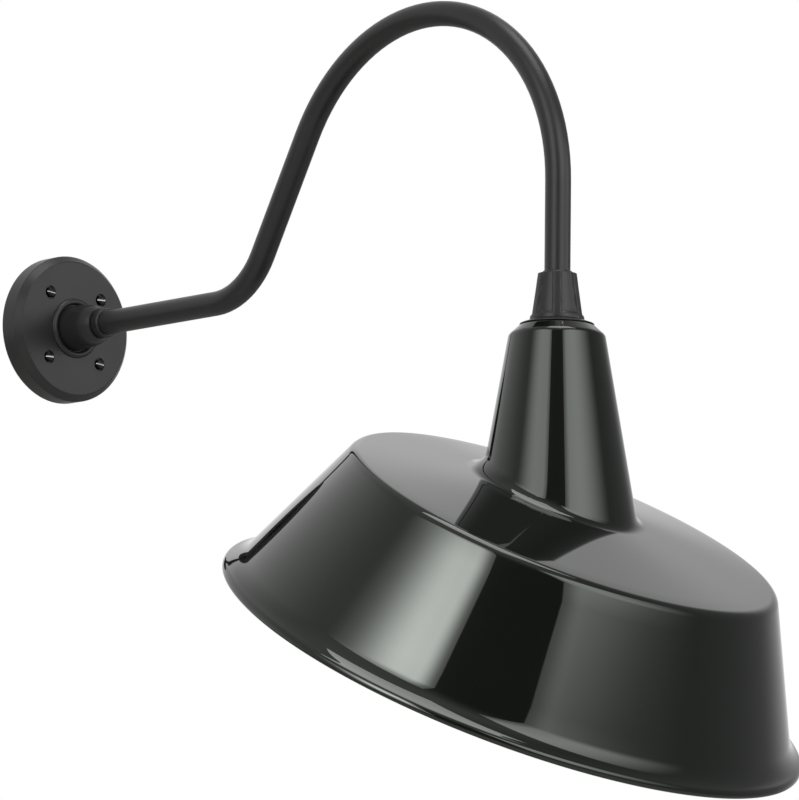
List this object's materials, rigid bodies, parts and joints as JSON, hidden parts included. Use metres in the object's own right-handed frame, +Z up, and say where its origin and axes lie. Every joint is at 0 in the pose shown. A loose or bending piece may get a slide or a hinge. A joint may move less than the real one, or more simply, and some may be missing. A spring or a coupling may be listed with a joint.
{
  "type": "outdoor wall lantern",
  "caption": "Gooseneck barn light: round wall plate, curved pipe arm, fluted cap and an angled enamel shade with a lampholder inside.",
  "frame": {"origin": "centre of the wall plate's back, on the wall", "axes": "-Y out from the wall along the arm, +X to the right when facing the wall, +Z up"},
  "size_m": [0.4996, 0.8224, 0.6872],
  "materials": {
    "shade_enamel": "gloss porcelain enamel, near black with a green cast",
    "satin_casting": "cast aluminium with a satin powder coat, charcoal black",
    "satin_steel": "satin powder coat, charcoal black",
    "black_screws": "black oxide steel",
    "seal_rubber": "closed-cell black rubber",
    "zinc_steel": "zinc plated steel",
    "porcelain": "white glazed porcelain",
    "brass": "plain brass",
    "nickel": "nickel plated brass",
    "green_screw": "green dyed steel",
    "glass_sleeving": "woven glass-fibre sleeving",
    "line_insulation": "black wire insulation",
    "neutral_insulation": "white wire insulation"
  },
  "bodies": {
    "wall_base": {"wall_plate": "satin_casting", "wall_gasket": "seal_rubber", "plate_screws": "black_screws", "earth_screw": "green_screw", "hub_set_screw": "black_screws"},
    "arm": {"gooseneck_arm": "satin_steel", "arm_lock_ring": "satin_steel", "supply_cable": "glass_sleeving"},
    "shade": {"fluted_cap": "satin_casting", "cap_set_screw": "black_screws", "shade_flange": "satin_steel", "flange_seal": "seal_rubber", "shade_neck": "shade_enamel", "shade_dish": "shade_enamel", "holder_strap": "zinc_steel", "stem_washer": "zinc_steel", "stem_nut": "zinc_steel", "lampholder_body": "porcelain", "screw_shell": "brass", "centre_contact": "brass", "line_terminal_plate": "brass", "neutral_terminal_plate": "nickel", "line_terminal_screw": "brass", "neutral_terminal_screw": "nickel", "holder_rivets": "brass", "holder_screws": "zinc_steel", "cable_tail": "glass_sleeving", "line_lead": "line_insulation", "neutral_lead": "neutral_insulation"}
  },
  "joints": [
    {"name": "arm_roll", "type": "hinge", "parent": "wall_base", "child": "arm", "pos_m": [0, 0, 0], "axis": [0, 1, 0], "range_deg": [-20, 20]},
    {"name": "shade_aim", "type": "hinge", "parent": "arm", "child": "shade", "pos_m": [0, -0.63526, -0.04304], "axis": [0, 0, 1], "range_deg": [-90, 90]}
  ]
}
